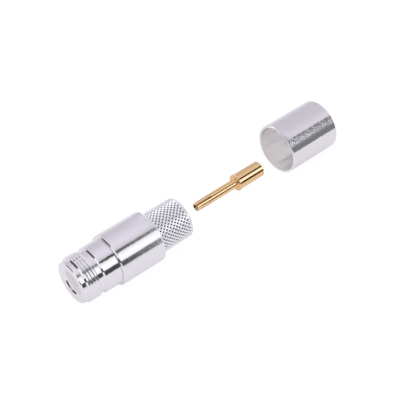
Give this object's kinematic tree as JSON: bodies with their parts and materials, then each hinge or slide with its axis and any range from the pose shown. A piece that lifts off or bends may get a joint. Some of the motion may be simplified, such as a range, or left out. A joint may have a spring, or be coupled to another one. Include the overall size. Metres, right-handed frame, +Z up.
{
  "type": "coaxial connector jack kit",
  "caption": "N-type crimp jack for large coaxial cable, as a kit: threaded plated body with knurled stub, loose slotted centre contact and loose crimp ferrule.",
  "frame": {"origin": "on the connector's axis at the reference plane, the step at the bottom of the mating bore", "axes": "+X along the axis from the mating end to the cable end, +Z up with the kit lying on its side"},
  "size_m": [0.1105, 0.0209, 0.018],
  "materials": {
    "silver_plate": "bright silver plate over turned brass",
    "silver_plate_ferrule": "satin silver plate over a drawn and turned tube",
    "gold_plate": "bright gold plate over turned bronze",
    "ptfe": "machined white fluoropolymer"
  },
  "bodies": {
    "body": {"front_shell": "silver_plate", "rear_body": "silver_plate", "insulator": "ptfe"},
    "contact": {"centre_contact": "gold_plate"},
    "ferrule": {"crimp_ferrule": "silver_plate_ferrule"}
  },
  "joints": [
    {"name": "contact_insert", "type": "slide", "parent": "body", "child": "contact", "axis": [-1, 0, 0], "range_m": [0, 0.0459]},
    {"name": "ferrule_slide", "type": "slide", "parent": "body", "child": "ferrule", "axis": [-0.9986, -0.0522, 0], "range_m": [0, 0.05938]}
  ]
}
